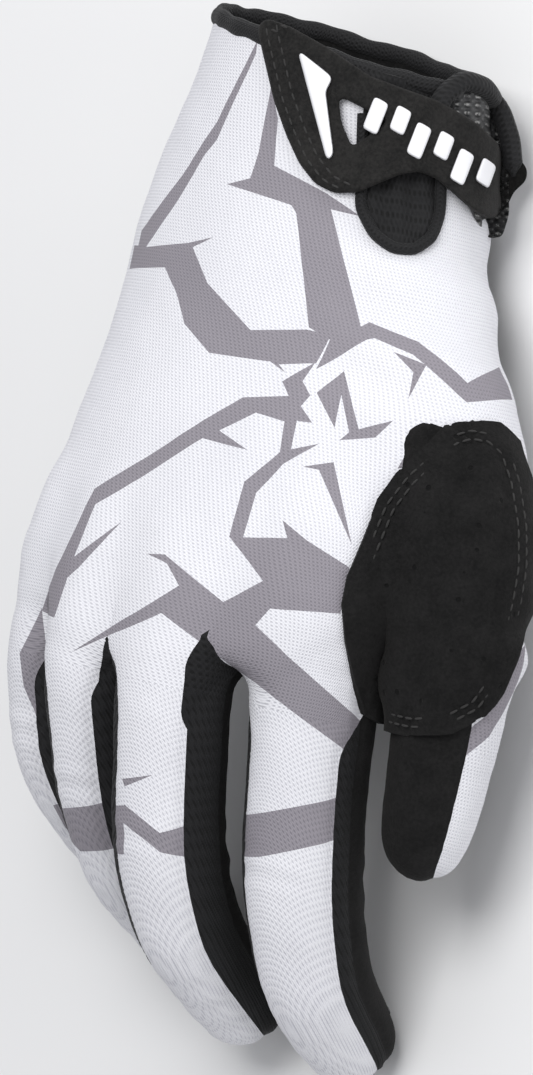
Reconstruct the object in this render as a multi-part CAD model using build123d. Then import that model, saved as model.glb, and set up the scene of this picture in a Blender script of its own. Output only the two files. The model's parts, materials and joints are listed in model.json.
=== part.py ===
from build123d import *

import math
import os

# A right-hand off-road riding glove, palm down in a relaxed half-closed shape, in millimetres.
# +X points to the thumb side, +Y to the cuff and +Z out of the back of the hand.
# The origin is on the table, under the middle of the glove. The glove rests on the heel of the
# palm and on the index and ring fingertips. Every finger bends about an axis along X.

# Material thicknesses
FABRIC = 1.8          # stretch fabric with its thin foam backing
SUEDE = 1.3           # thumb overlay
STRAP = 1.8           # closure strap
EMBLEM = 1.2          # height of the moulded bars on the strap
PATCH = 0.7           # hook and loop patches
PRINT = 0.5           # silicone grip prints
BINDING = 3.2         # width and height of the folded edge binding
CLEAR = 0.4           # half the gap between two bodies that turn about one hinge line
LAYER_GAP = 0.1       # air between stacked layers

# Hand: cross-sections across Y, as (y, x, z, half width, half height)
HAND_SECTIONS = [
    (106, -16, 23.5, 31.5, 21.5),
    (88, -17, 23, 33, 21.5),
    (72, -18, 22.3, 36.5, 23),
    (56, -16, 24.5, 40.4, 22.5),
    (36, -10, 30, 42.5, 21),
    (12, -7, 38, 43.5, 19),
    (-10, -6.5, 43.5, 43.5, 17),
    (-36, -6.5, 46.5, 43, 15.5),
]
# Ball and root of the thumb, from the wrist over the knuckle to the hinge of the tip, as
# (x, y, z, radius). The ball touches the table.
THUMB_SECTIONS = [
    (0, 74, 18, 12),
    (3, 54, 13.8, 14),
    (22, 33, 24, 15),
    (43, 6, 29, 12.8),
    (45.5, -14, 28, 11),
    (45.5, -29.6, 26, 9.8),
]
THUMB_TIP = [(45.5, -30, 26, 9.8), (44.5, -44, 24.5, 8.6), (43.5, -50, 23.2, 7.2)]
THUMB_DIRECTION = (0, -0.99, -0.12)

# Fingers: x, then the hinge of the knuckle, the hinge of the middle joint, the last bend and the
# middle of the fingertip, each as (y, z, radius)
HINGE_Y = -30
FINGERS = {
    "index": (23.5, [(HINGE_Y, 39, 11.8), (-61, 32, 11.3), (-81, 21, 10.3), (-90, 9.6, 9.2)]),
    "middle": (0, [(HINGE_Y, 52.5, 10.9), (-59.5, 45, 10.6), (-78, 31.5, 9.8), (-88.5, 15.5, 8.7)]),
    "ring": (-22, [(HINGE_Y, 51, 10), (-53, 41, 9.8), (-69, 27, 9.1), (-79.5, 8.9, 8.5)]),
    "pinky": (-41, [(HINGE_Y, 43.5, 8.7), (-45.5, 38, 8.5), (-56.5, 28, 8.1), (-64, 18, 7.4)]),
}
# Half-angles, in degrees, that the walls stand back from a hinge line, on the palm and back side
KNUCKLE_PALM, KNUCKLE_BACK = 28, 15
MIDDLE_PALM, MIDDLE_BACK = 37, 12
THUMB_PALM, THUMB_BACK = 43, 10
PALM_SETBACK = 8.0    # the palm's front edge stands this far behind the knuckle hinges
SIDE_SHARE = 0.74     # the back and the palm of a finger reach this share of its half width

# Seam plane between the back and the palm of the hand: its height at two places along Y
SEAM_Y0, SEAM_Z0 = 72, 22.3
SEAM_Y1, SEAM_Z1 = -30, 46

# The wrist's mouth: a tilted plane through this point
MOUTH = (-16, 95, 23)
MOUTH_NORMAL = (0.14, 0.97, 0.1)
CUFF_DEPTH = 8.5      # the elastic cuff shows this far inside the mouth

# View along which the strap, the notch and the thumb overlay are laid out: their outlines are
# drawn in the plane across this direction, with u to the thumb side and v to the cuff
LAYOUT_OUT = (0.669, 0, 0.743)
LAYOUT_U = (0.727, 0.2079, -0.654)
LAYOUT_V = (-0.155, 0.978, 0.139)
LAYOUT_X = -32.5      # the layout plane's own origin lies at this x

NOTCH = [
    (20, 120), (18.5, 74), (18, 62), (22, 55.5), (27.5, 54), (32.5, 57.5), (33.5, 68), (35, 120),
]
NOTCH_EDGE = 2.2      # width of the piping round the notch
PIPING = 1.2          # height of the piping over the fabric
STRAP_BASE = [
    (1.3, 96), (5.6, 94.4), (11.4, 91.6), (15.4, 65.6), (12.4, 65), (8.3, 69),
    (4.7, 76.3), (2.7, 82), (0.5, 88.8), (-1.3, 93),
]
STRAP_FREE = [
    (14, 90.6), (19.3, 86.7), (31.8, 82.4), (39.8, 78.8), (49, 72), (49, 66),
    (46, 61.5), (39.4, 61.6), (33.3, 67.8), (27.7, 69), (23.7, 67.8), (18, 65),
]
STRAP_WINDOW = [(17.8, 83.5), (23.2, 79), (19, 74.5)]
HOOK_PATCH = [(36, 79), (43, 75), (43, 64.5), (39, 63), (35, 68)]
LOOP_PATCH = [(34.5, 84), (44, 78), (45, 55), (38, 55)]
# Moulded bars of the emblem: one long blade on the base, then a row of plain slanted bars
BLADE = [(5.8, 92.2), (10.9, 86.5), (9.8, 84.5), (12.6, 72), (12.2, 70.4)]
BAR_COUNT = 6
BAR_START, BAR_STEP = (20.5, 83.2), (4.1, -2.35)
BAR_SHAPE = [(0, 0), (2.6, -1.5), (0.2, -7.2), (-2.4, -5.7)]
OVERLAY = [
    (30.6, 17), (36, 20.6), (42.7, 20.4), (47.5, 16), (50, 2), (49, -12), (45.5, -25),
    (40.4, -33), (34.3, -36.5), (22.7, -36), (18, -33), (16.4, -28.4), (14, -12.6),
    (15, -7.5), (20.9, 6.7), (25.2, 12.3),
]

OVERLAY_NEAR = 68     # the overlay covers only what lies above this height of the layout plane
STRAP_LIFT = 2.0      # the strap's free part lies this far over the fabric, on its patches
THUMB_SEAM_X, THUMB_SEAM_Z = 28, 24     # the thumb's back starts at this seam
THUMB_SPLIT = (0.85, 0, 0.53)           # the thumb tip's back faces this way

BIG = 400             # size of the blocks that cut a shape in two


def unit(v):
    length = math.sqrt(sum(c * c for c in v))
    return tuple(c / length for c in v)


def ellipse_face(centre, half_width, half_height, x_dir, normal):
    plane = Plane(origin=centre, x_dir=x_dir, z_dir=normal)
    return plane * Ellipse(half_width, half_height)


def hand_form(grow):
    """The outer form of the hand and the thumb's root, with every radius larger by grow."""
    faces = [
        ellipse_face((x, y, z), a + grow, b + grow, (1, 0, 0), (0, -1, 0))
        for y, x, z, a, b in HAND_SECTIONS
    ]
    hand = loft(faces)
    centres = [s[:3] for s in THUMB_SECTIONS]
    thumb_faces = []
    for i, (x, y, z, r) in enumerate(THUMB_SECTIONS):
        before = centres[max(i - 1, 0)]
        after = centres[min(i + 1, len(centres) - 1)]
        along = unit([b - a for a, b in zip(before, after)])
        if i == len(THUMB_SECTIONS) - 1:
            along = THUMB_DIRECTION
        across = unit((-along[1], along[0], 0))
        thumb_faces.append(ellipse_face((x, y, z), r + grow, r + grow, across, along))
    return hand + loft(thumb_faces)


def half_space(point, normal):
    """A block that fills the side of a plane that its normal points to."""
    plane = Plane(origin=point, z_dir=normal)
    return plane * Box(BIG, BIG, BIG, align=(Align.CENTER, Align.CENTER, Align.MIN))


def layout_point(u, v, out=0.0):
    """A point of the layout plane, lifted off it by out."""
    return tuple(
        (LAYOUT_X if i == 0 else 0) + u * LAYOUT_U[i] + v * LAYOUT_V[i] + out * LAYOUT_OUT[i]
        for i in range(3)
    )


def layout_prism(outline, near=15.0, far=130.0):
    """The outline's prism along the layout direction, between two heights over the origin."""
    plane = Plane(origin=layout_point(0, 0, near), x_dir=LAYOUT_U, z_dir=LAYOUT_OUT)
    return extrude(plane * make_face(Polyline(*outline, close=True)), far - near)


def keep_solids(shape, least=1.0):
    """The solids of a shape, without any crumb smaller than least cubic millimetres."""
    solids = [s for s in shape.solids() if s.volume > least]
    return solids[0] if len(solids) == 1 else Compound(solids)


def wedge(x, y, z, palm_angle, back_angle, side):
    """The space on one side (1 cuff, -1 fingertip) of a hinge line along X, which stands back
    from that line by the two angles below and above it."""
    reach = 60.0
    y0 = y + side * CLEAR
    low = (y0 + side * reach * math.tan(math.radians(palm_angle)), z - reach)
    high = (y0 + side * reach * math.tan(math.radians(back_angle)), z + reach)
    far = side * 160.0
    profile = Plane.YZ * make_face(
        Polyline((y0, z), high, (y + far, z + reach), (y + far, z - reach), low, close=True)
    )
    return Pos(x, 0, 0) * extrude(profile, 20, both=True)


def round_end(centre, along, radius):
    """Half a ball that closes a tube which ends at this centre."""
    seat = (Align.CENTER, Align.CENTER, Align.MIN)
    return Plane(origin=centre, z_dir=along) * Sphere(radius, arc_size1=0, align=seat)


def finger_tube(x, points, closed, grow=0.0):
    """A round tapered tube along a path in the plane of one x, rounded at its end if closed."""
    faces = []
    for i, (y, z, r) in enumerate(points):
        before = points[max(i - 1, 0)]
        after = points[min(i + 1, len(points) - 1)]
        along = unit((0, after[0] - before[0], after[1] - before[1]))
        faces.append(ellipse_face((x, y, z), r + grow, r + grow, (1, 0, 0), along))
    tube = loft(faces)
    if closed:
        y, z, r = points[-1]
        tube += round_end((x, y, z), along, r + grow)
    return tube


def split_walls(shell, x, points):
    """Cuts a finger's shell along its length into its back, its palm and its two side walls."""
    half = SIDE_SHARE * points[0][2]
    middle = Pos(x, 0, 0) * Box(2 * half, BIG, BIG)
    ribbon = shell & middle
    above = []
    for (y0, z0, _), (y1, z1, _) in zip(points, points[1:]):
        above.append(half_space((x, y0, z0), unit((0, z1 - z0, y0 - y1))))
    outside = above[0] if len(above) == 1 else above[0] + above[1]
    return ribbon & outside, ribbon - outside, shell - middle


def extended(point, toward, by, radius):
    """A point moved away from another one along their line, as (y, z, radius)."""
    dy, dz = point[0] - toward[0], point[1] - toward[1]
    length = math.hypot(dy, dz)
    return (point[0] + dy / length * by, point[1] + dz / length * by, radius)


def build_finger(name):
    """The six sub-parts of one finger: back, palm and gussets of its base and of its tip."""
    x, (knuckle, middle, bend, tip) = FINGERS[name]
    parts = {}
    start = extended(knuckle, middle, 8, knuckle[2])
    end = extended(middle, knuckle, 8, middle[2])
    base = finger_tube(x, [start, end], False) - finger_tube(x, [start, end], False, -FABRIC)
    base &= wedge(x, knuckle[0], knuckle[1], KNUCKLE_PALM, KNUCKLE_BACK, -1)
    base &= wedge(x, middle[0], middle[1], MIDDLE_PALM, MIDDLE_BACK, 1)
    walls = split_walls(base, x, [knuckle, middle])
    for part, wall in zip(("back", "palm", "gussets"), walls):
        parts[f"{name}_base_{part}"] = keep_solids(wall)
    first = extended(middle, bend, 8, middle[2])
    path = [first, middle, bend, tip]
    cap = finger_tube(x, path, True) - finger_tube(x, path, True, -FABRIC)
    cap &= wedge(x, middle[0], middle[1], MIDDLE_PALM, MIDDLE_BACK, -1)
    walls = split_walls(cap, x, [middle, bend, tip])
    for part, wall in zip(("back", "palm", "gussets"), walls):
        parts[f"{name}_tip_{part}"] = keep_solids(wall)
    return parts


def sheet(low, high):
    """The layer between two distances from the hand's outer form."""
    return hand_form(high) - hand_form(low)


def mouth_side(inset):
    """The space beyond the wrist's mouth, starting this far inside it."""
    normal = unit(MOUTH_NORMAL)
    point = tuple(c - inset * n for c, n in zip(MOUTH, normal))
    return half_space(point, normal)


def knuckle_front():
    """The space in front of the knuckles, in which the bases of the fingers turn."""
    edges = [36, 11.9, -11.4, -31.9, -75]
    cut = []
    for finger, high_x, low_x in zip(FINGERS.values(), edges, edges[1:]):
        hinge_z = finger[1][0][1]
        lean = BIG * math.tan(math.radians(KNUCKLE_BACK))
        y0 = HINGE_Y + CLEAR
        profile = Plane.YZ * make_face(
            Polyline(
                (y0 + PALM_SETBACK, hinge_z - BIG), (y0 + PALM_SETBACK, hinge_z - 9),
                (y0, hinge_z), (y0 + lean, hinge_z + BIG), (-BIG, hinge_z + BIG),
                (-BIG, hinge_z - BIG), close=True,
            )
        )
        cut.append(Pos(low_x, 0, 0) * extrude(profile, high_x - low_x))
    thumb_block = Box(60, BIG, BIG, align=(Align.MIN, Align.MAX, Align.CENTER))
    cut.append(Pos(edges[0], HINGE_Y + CLEAR, 0) * thumb_block)
    return cut


def without(shape, blocks):
    for block in blocks:
        shape = shape - block
    return shape


def grown_prism(outline, by, near):
    """The prism of an outline that has been widened by so much all round."""
    plane = Plane(origin=layout_point(0, 0, near), x_dir=LAYOUT_U, z_dir=LAYOUT_OUT)
    face = offset(make_face(Polyline(*outline, close=True)), by)
    return extrude(plane * face, 110)


def build_hand():
    """The fixed fabric and suede of the hand, the cuff and the thumb's root."""
    parts = {}
    shell = sheet(-FABRIC, 0)
    front = knuckle_front()
    body = without(shell, front) - mouth_side(BINDING + LAYER_GAP)
    body &= half_space((0, 0, 0), (0, 0, 1))

    slope = (SEAM_Z1 - SEAM_Z0) / (SEAM_Y1 - SEAM_Y0)
    seam = half_space((0, SEAM_Y0, SEAM_Z0), unit((0, -slope, 1)))
    thumb_block = Box(BIG, BIG, BIG, align=(Align.MIN, Align.CENTER, Align.MIN))
    back_side = seam + Pos(THUMB_SEAM_X, 0, THUMB_SEAM_Z) * thumb_block
    piping_zone = grown_prism(NOTCH, NOTCH_EDGE, 35)
    parts["hand_back"] = keep_solids((body & back_side) - piping_zone, 20)
    parts["hand_palm"] = keep_solids((body - back_side) - piping_zone, 20)

    notch = layout_prism(NOTCH, 35)
    trim = mouth_side(BINDING + LAYER_GAP)
    piping = (sheet(-FABRIC, PIPING) & piping_zone) - notch - trim
    parts["notch_piping"] = keep_solids(piping)
    lining_gap = FABRIC + LAYER_GAP
    lining = sheet(-lining_gap - 1.4, -lining_gap) - trim
    gusset_zone = grown_prism(NOTCH, NOTCH_EDGE + 4, 35)
    parts["notch_gusset"] = keep_solids(lining & gusset_zone, 20)
    cuff = (lining & mouth_side(BINDING + CUFF_DEPTH)) - grown_prism(NOTCH, NOTCH_EDGE + 4.2, 35)
    parts["cuff_lining"] = keep_solids(cuff)
    binding = sheet(-lining_gap - 1.6, 0.9) & mouth_side(BINDING)
    parts["cuff_binding"] = keep_solids(binding - mouth_side(0))

    cover = sheet(LAYER_GAP, LAYER_GAP + SUEDE) & layout_prism(OVERLAY, OVERLAY_NEAR)
    parts["thumb_overlay"] = keep_solids(without(cover, front), 20)
    return parts


def build_closure():
    """The strap with its patches and its plain moulded bars."""
    parts = {}
    trim = mouth_side(BINDING + LAYER_GAP)
    low = LAYER_GAP
    base = sheet(low, low + STRAP) & layout_prism(STRAP_BASE, 30)
    parts["strap_base"] = keep_solids(base - trim)
    low += STRAP + LAYER_GAP
    parts["strap_blade"] = keep_solids(sheet(low, low + EMBLEM) & layout_prism(BLADE, 30))
    patch = sheet(LAYER_GAP, LAYER_GAP + PATCH) & layout_prism(LOOP_PATCH, 45)
    parts["loop_patch"] = keep_solids(patch - grown_prism(NOTCH, NOTCH_EDGE + 0.1, 35) - trim)

    low = STRAP_LIFT
    parts["hook_patch"] = keep_solids(sheet(low - LAYER_GAP - PATCH, low - LAYER_GAP)
                                      & layout_prism(HOOK_PATCH, 45))
    free = sheet(low, low + STRAP) & layout_prism(STRAP_FREE, 35)
    parts["strap_free"] = keep_solids(free - layout_prism(STRAP_WINDOW, 35))
    low += STRAP + LAYER_GAP
    raised = sheet(low, low + EMBLEM)
    bars = []
    for i in range(BAR_COUNT):
        u, v = BAR_START[0] + i * BAR_STEP[0], BAR_START[1] + i * BAR_STEP[1]
        outline = [(u + du, v + dv) for du, dv in BAR_SHAPE]
        bars += (raised & layout_prism(outline, 35)).solids()
    parts["strap_bars"] = Compound(bars)
    return parts


def build_thumb():
    """The thumb's tip, split into its back and its palm side."""
    start = tuple(a - 8 * b for a, b in zip(THUMB_TIP[0][:3], THUMB_DIRECTION))
    path = [(*start, THUMB_TIP[0][3])] + THUMB_TIP
    shells = []
    for grow in (0, -FABRIC):
        faces = []
        for i, (x, y, z, r) in enumerate(path):
            before, after = path[max(i - 1, 0)], path[min(i + 1, len(path) - 1)]
            along = unit([b - a for a, b in zip(before[:3], after[:3])])
            across = unit((-along[1], along[0], 0))
            faces.append(ellipse_face((x, y, z), r + grow, r + grow, across, along))
        shells.append(loft(faces) + round_end(path[-1][:3], along, path[-1][3] + grow))
    cap = shells[0] - shells[1]
    cap &= wedge(THUMB_TIP[0][0], HINGE_Y, THUMB_TIP[0][2], THUMB_PALM, THUMB_BACK, -1)
    split = half_space(THUMB_TIP[1][:3], unit(THUMB_SPLIT))
    return {
        "thumb_tip_back": keep_solids(cap & split),
        "thumb_tip_palm": keep_solids(cap - split),
    }


def build_grips():
    """Small rubbery bars printed on the palm side of the first two fingertips."""
    parts = {}
    for name in ("index", "middle"):
        x, (_, middle, bend, tip) = FINGERS[name]
        path = [middle, bend, tip]
        skin = finger_tube(x, path, True, LAYER_GAP + PRINT) - finger_tube(x, path, True, LAYER_GAP)
        along = unit((0, tip[0] - bend[0], tip[1] - bend[1]))
        below = (0, -along[2], along[1])
        bars = []
        for step in (2.5, 6.0, 9.5):
            centre = (x, bend[0] + along[1] * step, bend[1] + along[2] * step)
            plane = Plane(origin=centre, x_dir=(1, 0, 0), z_dir=below)
            block = plane * Box(9, 1.6, 20, align=(Align.CENTER, Align.CENTER, Align.MIN))
            bars += (skin & block).solids()
        parts[f"{name}_tip_grip"] = Compound(bars)
    return parts


def main():
    os.makedirs("parts", exist_ok=True)
    parts = build_hand()
    parts.update(build_closure())
    for name in FINGERS:
        parts.update(build_finger(name))
    parts.update(build_thumb())
    parts.update(build_grips())
    for node, shape in parts.items():
        export_step(shape, f"parts/{node}.step")
        print(node, len(shape.solids()), round(shape.volume), shape.is_valid)


if __name__ == "__main__":
    main()
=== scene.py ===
import itertools
import json
import math

import bpy
import numpy as np
from mathutils import Matrix

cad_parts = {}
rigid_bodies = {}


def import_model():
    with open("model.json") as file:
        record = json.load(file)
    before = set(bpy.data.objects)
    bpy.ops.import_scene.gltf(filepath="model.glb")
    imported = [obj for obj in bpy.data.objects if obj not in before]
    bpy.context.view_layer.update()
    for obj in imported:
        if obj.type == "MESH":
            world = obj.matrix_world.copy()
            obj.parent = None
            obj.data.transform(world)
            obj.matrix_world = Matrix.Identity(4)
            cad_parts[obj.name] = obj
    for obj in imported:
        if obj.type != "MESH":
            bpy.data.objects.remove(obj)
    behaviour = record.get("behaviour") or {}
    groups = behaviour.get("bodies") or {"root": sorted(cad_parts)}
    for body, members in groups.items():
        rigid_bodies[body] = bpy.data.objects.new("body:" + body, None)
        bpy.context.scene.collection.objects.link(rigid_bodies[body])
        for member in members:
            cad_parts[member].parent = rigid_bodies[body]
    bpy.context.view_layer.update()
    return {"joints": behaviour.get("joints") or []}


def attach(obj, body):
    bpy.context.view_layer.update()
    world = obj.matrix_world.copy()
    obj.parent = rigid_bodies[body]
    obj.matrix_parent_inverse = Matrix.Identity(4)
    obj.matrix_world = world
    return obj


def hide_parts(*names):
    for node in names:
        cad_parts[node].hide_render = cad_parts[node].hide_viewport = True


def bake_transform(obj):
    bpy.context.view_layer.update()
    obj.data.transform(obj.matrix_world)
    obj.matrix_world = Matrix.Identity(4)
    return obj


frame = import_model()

# What Blender itself puts in a new file is not part of the scene.
for name in ("Cube", "Light", "Camera"):
    if name in bpy.data.objects:
        bpy.data.objects.remove(bpy.data.objects[name])

# The glove lies palm down: +X to the thumb side, +Y to the cuff, +Z out of the back of the hand.
# The skin of the glove is worked out in millimetres and turned into metres when a mesh is made.
MM = 0.001

# ---------------------------------------------------------------------------- driving dimensions

# Hand: cross-sections as (y, x, z, half width, half height)
HAND_SECTIONS = np.array([
    (112, -16, 23.8, 30.5, 20.5),
    (96, -16.5, 23.2, 31.5, 20.8),
    (84, -17, 23, 33, 21.2),
    (72, -18, 22.3, 36, 22.5),
    (56, -16, 24.5, 39.6, 22.3),
    (36, -10, 30, 42.3, 21),
    (12, -7, 38, 43.3, 19),
    (-10, -6.5, 43.5, 43, 16.8),
    (-36, -6.5, 46, 42, 14.5),
])
# Thumb, from the wrist to its tip: (x, y, z, radius)
THUMB_PATH = np.array([
    (0, 74, 18, 12), (3, 54, 14.2, 13.8), (22, 33, 24, 14.8), (35, 20, 28, 13.8), (43, 6, 29, 12.6),
    (45.5, -14, 28, 11), (45.5, -30, 26, 9.7), (44.5, -44, 24.5, 8.5), (43.5, -50, 23.2, 7.0),
])
# Fingers: x, then the path from inside the hand to the tip as (y, z, radius)
FINGER_PATHS = {
    "index": (23.5, [(0, 42.5, 11.2), (-16, 42.4, 11.8), (-30, 39, 11.6), (-46, 35.9, 11.1),
                     (-61, 32, 11.1), (-72, 27, 10.5), (-81, 21, 10.1), (-90, 9.8, 9.2)]),
    "middle": (0, [(0, 47, 10), (-16, 51, 10.6), (-30, 52.5, 10.7), (-45, 49.2, 10.4),
                   (-59.5, 45, 10.4), (-70, 38.8, 9.9), (-78, 31.5, 9.6), (-88.5, 15.5, 8.7)]),
    "ring": (-22, [(0, 46, 9.5), (-16, 50, 9.8), (-30, 51, 9.8), (-42, 46.5, 9.6),
                   (-53, 41, 9.6), (-62, 34.5, 9.2), (-69, 27, 8.9), (-79.5, 8.9, 8.4)]),
    "pinky": (-41, [(0, 42, 8), (-16, 43.6, 8.6), (-30, 43.5, 8.6), (-38, 41, 8.4),
                    (-45.5, 38, 8.3), (-51.5, 33.4, 8.1), (-56.5, 28, 7.9), (-64, 18, 7.3)]),
}
FINGERS = list(FINGER_PATHS)
# Each finger's back panel lies between two angles round the finger, in degrees from straight up
# towards the thumb side, and each side gusset is this many degrees wide
BACK_ANGLES = {"index": (-38, 72), "middle": (-30, 60), "ring": (-36, 38), "pinky": (-78, 20)}
GUSSET_WIDTH = {"index": (52, 21), "middle": (52, 50), "ring": (52, 52), "pinky": (14, 52)}
# Gaps between neighbouring fingers, from the thumb side: (x of the gap, y of its inner end)
GAPS = [(11.9, -23.5), (-11.4, -28.5), (-31.9, -21.5)]
THUMB_GAP = 35.5        # x of the gap between the index finger and the thumb
SPREAD = 3.4            # the fingers are moved this far apart while the skin is worked out
SPREAD_FROM = -8        # y where they begin to be moved aside
SPREAD_FULL = -24       # and y from which they are moved the whole way

GRID = 1.25             # size of the cells that the skin is worked out on
HAND_BLEND = 5.0        # the hand flows into the fingers over about this distance
THUMB_BLEND = 9.0       # and into the thumb over this one
FABRIC = 0.9            # thickness of the fabric

JOINT_Y = -31.2         # behind this plane the skin belongs to the hand, in front to the fingers
# Finger joints: y of the plane where a finger's skin passes from its knuckle to its middle joint,
# and how far the bend reaches on each side of the middle joint
KNUCKLE_END = {"index": -53, "middle": -51.5, "ring": -46, "pinky": -40.5}
MIDDLE_END = {"index": -69, "middle": -67.5, "ring": -60, "pinky": -51}

# The wrist's mouth: a tilted plane
MOUTH = np.array([-16, 95, 23.0])
MOUTH_NORMAL = np.array([0.14, 0.97, 0.1]) / np.linalg.norm([0.14, 0.97, 0.1])

# The layout plane: the strap, the notch, the print and the thumb overlay are drawn in it, with u
# to the thumb side and v to the cuff, as somebody sees it who looks along -OUT
OUT = np.array([0.669, 0, 0.743])
ACROSS = np.array([0.727, 0.2079, -0.654])
ALONG = np.array([-0.155, 0.978, 0.139])
LAYOUT_ORIGIN = np.array([-32.5, 0, 0])
FRONT_LIMIT = -0.1      # a skin faces somebody who looks along -OUT if its normal @ OUT is more
WHITE_SIDE = np.array([0.743, 0, -0.669])       # the way that the thumb's white side faces

NOTCH = [(21, 112), (18.5, 80), (18, 62), (20.5, 57), (24, 54.3), (28, 54), (31.5, 56.5),
         (33, 61), (33.5, 72), (36, 90), (39, 112)]
# Black stretch knit above the strap, as far as the wrist's mouth
KNIT = [(0.5, 99), (5, 96.5), (12, 91.5), (19, 86.5), (32, 82), (38, 78), (38.5, 72), (48, 66), (62, 66),
        (62, 112), (0.5, 112)]
STRAP = [(0.6, 99), (-1, 98.4), (-1.5, 96.8), (1.6, 83.1), (4, 76.2), (6.4, 70.8), (9.4, 66.8),
         (13, 64.9), (17.4, 64.9), (25.4, 68.3), (29, 68.9), (32.2, 67.7), (39.6, 61.6),
         (42, 60.7), (44.2, 61), (46.6, 63.7), (47.6, 66), (50, 68.2), (50.3, 70.2), (49.4, 71.8),
         (46.3, 74), (39.8, 78.6), (33, 82.2), (26, 84.6), (19.7, 87), (12.1, 92.6), (5, 97)]
WINDOW = [(13.9, 82.8), (14.9, 83), (19.2, 80.6), (22.6, 78.8), (22.7, 78), (20, 76),
          (16.8, 73.9), (16.1, 74.1), (14.4, 78.4)]
BLADE = [(6.3, 91.6), (6.8, 91.9), (12.4, 87.2), (12.6, 86.4), (11.4, 84.2), (12.9, 72.4),
         (12.2, 71.2), (11.5, 71.5)]
BAR_COUNT = 6
BAR_START, BAR_STEP = np.array([20.6, 83.0]), np.array([4.1, -2.35])
BAR_SHAPES = [[(0, 0), (2.7, -1.5), (0.4, -7.4), (-2.3, -5.9)],
              [(0.3, 0.8), (3.0, -0.7), (1.3, -5.2), (-1.4, -3.7)]]
TAB = [(33.5, 82.5), (38, 85.3), (42.3, 83.4), (45.2, 78), (46.6, 70), (46.8, 62), (45.4, 57.4),
       (42.8, 56.9), (40, 60), (37, 66), (34, 74)]
HOOK_PAD = [(36.5, 77.8), (42.5, 74.3), (44, 66.5), (40, 64.5), (36, 68)]
TAB_ROLL = [(32, 79), (33.6, 83.4), (37.5, 86.6), (42, 85.6), (45.2, 81.5), (47, 76), (47.6, 69)]

# Print on the back: angular grey shards on the white fabric, as outlines in the layout plane
PRINT = [
    [(-1.4, 95.2), (-9.3, 79.9), (-15.7, 70.2), (-24.1, 59.5), (-25.7, 52.1), (-22.8, 56.3),
     (-17, 64.7), (-11.9, 73.1), (-9.3, 76.3), (-7.7, 79.9), (-1.8, 92.5)],
    [(-26.5, 52.1), (-25.6, 56.8), (-22.8, 56), (-14.8, 56.3), (-9.8, 57.1), (-13.9, 55.4),
     (-11.1, 48.3), (-2.8, 38.9), (7.8, 38.8), (12.4, 37.6), (9.5, 32.4), (2.6, 32.2),
     (3.8, 30.6), (1, 32.8), (-10.6, 34.7), (-15.4, 40.5), (-17, 46.6), (-19.3, 51.7)],
    [(1.1, 86), (-1.2, 73.4), (-2.9, 68.3), (-7.3, 67.3), (4.9, 62.8), (5.9, 61.2), (8.2, 39.2),
     (12.4, 36.6), (17.9, 39.2), (12.4, 61.8), (17.9, 60.5), (11.4, 65), (1.7, 70.5), (2.4, 79.6)],
    [(17.9, 39.2), (19.5, 40.2), (28.5, 36.3), (37.5, 28.3), (44.3, 32), (46.2, 25.5),
     (37.5, 25), (27.5, 33.6), (20.5, 36.9), (19.1, 36.6), (9.5, 31.3), (12.4, 37.2)],
    [(3.2, 29), (9.4, 32.6), (7, 29), (8.4, 26.3), (5.7, 23.2)],
    [(5.9, 26.3), (-4.2, 26.1), (-11.2, 22), (-32.4, 9), (-39.7, -5.8), (-43, -14.3),
     (-40, -15.5), (-36.4, -4.6), (-32.1, 6), (-11.8, 18.4), (-1.8, 23.2), (5.5, 20.8)],
    [(-12, 18.5), (-3.3, 16.1), (-9.1, 20.2)],
    [(-38.7, -9), (-36.8, -4.5), (-27.3, 2.9), (-35.3, -6)],
    [(-43, -13.8), (-47.3, -22.5), (-46.6, -29), (-42.9, -38.6), (-42, -22)],
    [(6.4, 23.8), (3.6, 21.4), (2.7, 15.7), (-3.9, 10.2), (-6.7, -0.1), (-4.2, -0.3),
     (-1.8, 8.1), (3.3, 13.5), (10, 17.2), (4.8, 16.2)],
    [(5.5, 26), (8.8, 21.1), (6, 21.5)],
    [(9.6, 26.8), (14.6, 31), (17.4, 19.9), (23.8, 21.4), (20.4, 18.3), (13.8, 17.9),
     (15.6, 19.4), (14.2, 26.4), (12.9, 20.2)],
    [(-6.7, -0.1), (-0.3, -8.3), (-7.9, -12.2), (-18.8, -3.4), (-22.1, -3.3), (-18.5, -5),
     (-16.1, -9.2), (-19.7, -11.3), (-36.7, -21.9), (-19.4, -14.3), (-5.2, -24.9), (17, -41.3),
     (18.5, -34.9), (4.2, -22.2), (-1.8, -16.5), (0.9, -13.4), (13.9, -14.3), (15.6, -5.8),
     (7.6, -0.7), (3.3, 2.9), (4.2, -0.4)],
    [(7, 12.9), (12.7, 13.8), (16, -1.6), (10, 12.3)],
    [(24.5, 12.5), (27.5, 17.6), (26.6, 12.8)],
    [(24, 34.2), (30, 31.6), (26.5, 25.8), (27.6, 30.4)],
    [(-41.4, -52.5), (-31.5, -51), (-26.5, -50.5), (-26.5, -59.8), (-35.5, -60.4), (-39, -57)],
    [(-26.5, -50.3), (-19.7, -55.5), (-12.1, -53.7), (-3.9, -52.2), (17, -48), (16, -56),
     (-0.9, -59.8), (-13, -60.7), (-19.7, -59.2), (-26.5, -53.8)],
    [(-26.8, -45.5), (-21, -44.6), (-26.3, -46.9)],
    [(40.5, -33.5), (46, -22), (48.5, -20), (46.4, -29), (41.5, -37), (36.4, -41.5), (36.6, -37)],
]
OVERLAY = [(30.6, 17), (33.5, 20), (38, 21.4), (43, 20.4), (46.5, 17.2), (48.6, 11), (50, 2),
           (50, -6), (48.8, -13), (46.2, -22), (43.6, -28.5), (40.4, -33), (34.3, -36.2),
           (27, -37), (22, -36), (18, -33), (16.4, -28.4), (14.6, -19), (14, -12.6), (15, -7.5),
           (17.8, -1), (20.9, 6.7), (25.2, 12.3)]

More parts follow.
